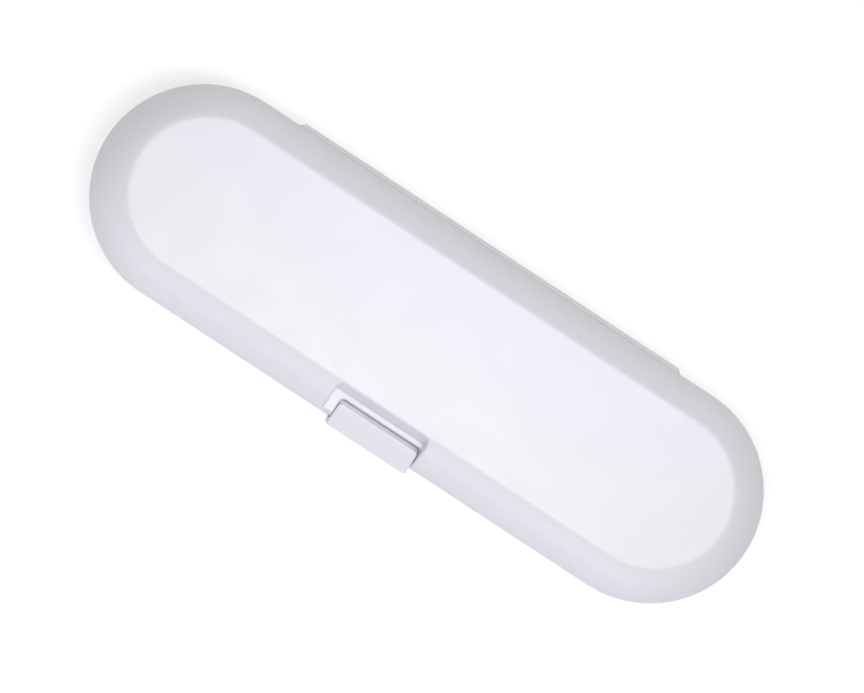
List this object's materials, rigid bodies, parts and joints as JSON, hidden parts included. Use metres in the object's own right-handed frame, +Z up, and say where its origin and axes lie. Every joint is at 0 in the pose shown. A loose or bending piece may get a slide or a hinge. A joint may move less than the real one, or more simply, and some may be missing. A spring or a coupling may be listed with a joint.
{
  "type": "electric toothbrush travel case",
  "caption": "White pill-shaped travel case for an electric toothbrush, with a lid hinged along the back, a pinned front clasp and a fitted inner tray.",
  "frame": {"origin": "middle of the flat face under the base, on which the case rests", "axes": "+X along the case to the right as seen from the clasp, +Y from the clasp towards the hinge, +Z up"},
  "size_m": [0.23, 0.0725, 0.039],
  "materials": {
    "shell_plastic": "smooth satin white",
    "clasp_plastic": "smooth satin white",
    "tray_plastic": "fine matt pale grey",
    "pad_rubber": "soft matt grey",
    "pin_steel": "bright drawn"
  },
  "bodies": {
    "base": {"base_shell": "shell_plastic", "base_tray": "tray_plastic", "handle_pad_1": "pad_rubber", "handle_pad_2": "pad_rubber", "hinge_pin": "pin_steel", "latch_pin": "pin_steel"},
    "lid": {"lid_shell": "shell_plastic", "lid_pad_1": "pad_rubber", "lid_pad_2": "pad_rubber"},
    "clasp": {"latch_clasp": "clasp_plastic"}
  },
  "joints": [
    {"name": "lid_hinge", "type": "hinge", "parent": "base", "child": "lid", "pos_m": [0.0005, 0.0335, 0.0195], "axis": [-1, 0, 0], "range_deg": [0, 115]},
    {"name": "clasp_hinge", "type": "hinge", "parent": "base", "child": "clasp", "pos_m": [0.0012, -0.032, 0.012], "axis": [1, 0, 0], "range_deg": [0, 100]}
  ]
}
